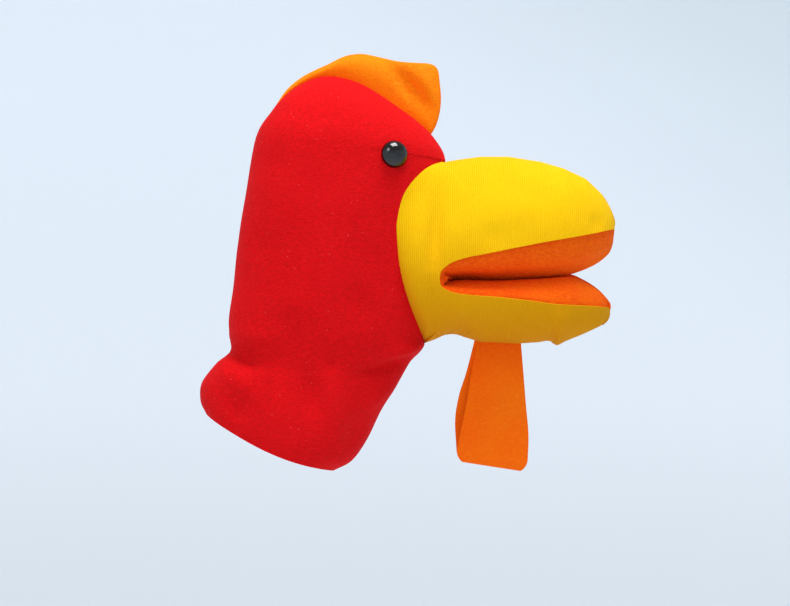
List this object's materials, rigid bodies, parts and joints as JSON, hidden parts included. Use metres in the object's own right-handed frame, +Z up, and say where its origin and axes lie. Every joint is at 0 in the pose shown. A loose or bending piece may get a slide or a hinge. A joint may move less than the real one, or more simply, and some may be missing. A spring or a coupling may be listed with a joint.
{
  "type": "hand puppet",
  "caption": "Cockerel hand puppet: soft red head and sleeve worn on the hand, hinged yellow beak with orange lining, padded comb, folded wattle and shanked eyes.",
  "frame": {"origin": "middle of the hand opening at the sleeve's hem", "axes": "+X towards the tip of the beak, +Z up through the crown, Y across the puppet with its own right side at -Y"},
  "size_m": [0.2489, 0.0878, 0.248],
  "materials": {
    "red_fleece": "brushed red fleece",
    "yellow_jersey": "ribbed yellow jersey",
    "orange_lining": "napped orange fleece",
    "orange_comb": "short-napped orange fleece",
    "white_wadding": "polyester wadding",
    "orange_felt": "smooth orange felt",
    "black_plastic": "polished black",
    "washer_plastic": "moulded translucent white"
  },
  "bodies": {
    "cuff": {"cuff_right_panel": "red_fleece", "cuff_left_panel": "red_fleece"},
    "head": {"head_right_panel": "red_fleece", "head_left_panel": "red_fleece", "beak_upper_right_panel": "yellow_jersey", "beak_upper_left_panel": "yellow_jersey", "beak_upper_lining": "orange_lining", "right_eye": "black_plastic", "left_eye": "black_plastic", "right_eye_washer": "washer_plastic", "left_eye_washer": "washer_plastic"},
    "lower_jaw": {"beak_lower_right_panel": "yellow_jersey", "beak_lower_left_panel": "yellow_jersey", "beak_lower_lining": "orange_lining"},
    "comb": {"comb_right_layer": "orange_comb", "comb_left_layer": "orange_comb", "comb_wadding": "white_wadding"},
    "wattle": {"wattle_strip": "orange_felt"}
  },
  "joints": [
    {"name": "wrist_nod", "type": "hinge", "parent": "cuff", "child": "head", "pos_m": [0.009, 0, 0], "axis": [0, 1, 0], "range_deg": [-12, 12]},
    {"name": "jaw_open", "type": "hinge", "parent": "head", "child": "lower_jaw", "pos_m": [0.099, 0, 0.097], "axis": [0, 1, 0], "range_deg": [-12, 25]},
    {"name": "comb_flop", "type": "hinge", "parent": "head", "child": "comb", "pos_m": [0.00756, 0, 0.20884], "axis": [0.953, 0, -0.3029], "range_deg": [-20, 20], "stiffness_Nm_per_rad": 0.02},
    {"name": "wattle_swing", "type": "hinge", "parent": "lower_jaw", "child": "wattle", "pos_m": [0.131, 0, 0.057], "axis": [1, 0, 0], "range_deg": [-45, 45]}
  ]
}
